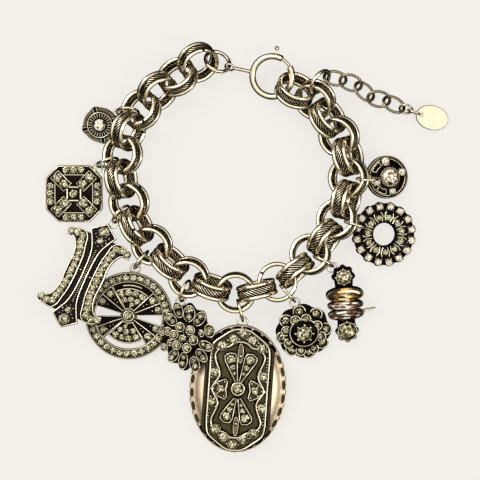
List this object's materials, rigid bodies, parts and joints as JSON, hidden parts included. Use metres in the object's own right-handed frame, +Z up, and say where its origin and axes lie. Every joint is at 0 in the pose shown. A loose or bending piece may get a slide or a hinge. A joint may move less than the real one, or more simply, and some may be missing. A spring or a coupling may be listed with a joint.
{
  "type": "charm bracelet",
  "caption": "Chain bracelet of triple-ring links carrying ornate stone-set charms on jump rings, with a spring ring clasp and a short extension chain that ends in an oval tag.",
  "frame": {"origin": "middle of the whole bracelet's outline, on the surface that it lies on", "axes": "+Z up from the surface through the charms' faces, +Y from the large oval charm towards the clasp, +X towards the extension chain"},
  "size_m": [0.1062, 0.1066, 0.0122],
  "materials": {
    "chain_metal": "antiqued pale metal, worn bright on its edges",
    "ring_metal": "polished pale metal, lightly aged",
    "charm_metal": "antiqued pale metal set with pale cut stones and dark enamel",
    "tag_metal": "satin pale metal, plain"
  },
  "bodies": {
    "bracelet": {"link_01": "chain_metal", "link_02": "chain_metal", "link_03": "chain_metal", "link_04": "chain_metal", "link_05": "chain_metal", "link_06": "chain_metal", "link_07": "chain_metal", "link_08": "chain_metal", "link_09": "chain_metal", "link_10": "chain_metal", "link_11": "chain_metal", "link_12": "chain_metal", "link_13": "chain_metal", "link_14": "chain_metal", "link_15": "chain_metal", "link_16": "chain_metal", "link_17": "chain_metal", "link_18": "chain_metal", "link_19": "chain_metal", "link_20": "chain_metal", "link_21": "chain_metal", "link_22": "chain_metal", "link_23": "chain_metal", "link_24": "chain_metal", "link_25": "chain_metal", "link_26": "chain_metal", "link_27": "chain_metal", "jump_ring_shield": "ring_metal", "shield": "charm_metal", "jump_ring_octagon": "ring_metal", "octagon": "charm_metal", "jump_ring_scroll": "ring_metal", "scroll": "charm_metal", "jump_ring_wheel": "ring_metal", "wheel": "charm_metal", "jump_ring_flower": "ring_metal", "flower": "charm_metal", "jump_ring_oval": "ring_metal", "oval": "charm_metal", "jump_ring_rosette": "ring_metal", "rosette": "charm_metal", "jump_ring_stack": "ring_metal", "stack": "charm_metal", "jump_ring_wreath": "ring_metal", "wreath": "charm_metal", "jump_ring_button": "ring_metal", "button": "charm_metal", "end_ring_1": "ring_metal", "end_ring_2": "ring_metal", "clasp_body": "ring_metal", "tag_ring_1": "ring_metal", "tag_ring_2": "ring_metal", "extension_link_1": "ring_metal", "extension_link_2": "ring_metal", "extension_link_3": "ring_metal", "extension_link_4": "ring_metal", "extension_link_5": "ring_metal", "tag": "tag_metal"},
    "gate": {"clasp_gate": "ring_metal"}
  },
  "joints": [
    {"name": "clasp_gate_slide_back", "type": "hinge", "parent": "bracelet", "child": "gate", "pos_m": [0.00708, 0.0446, 0.00467], "axis": [-0.2207, -0.1163, 0.9684], "range_deg": [0, 35], "stiffness_Nm_per_rad": 0.006, "springref_deg": -17.19}
  ]
}
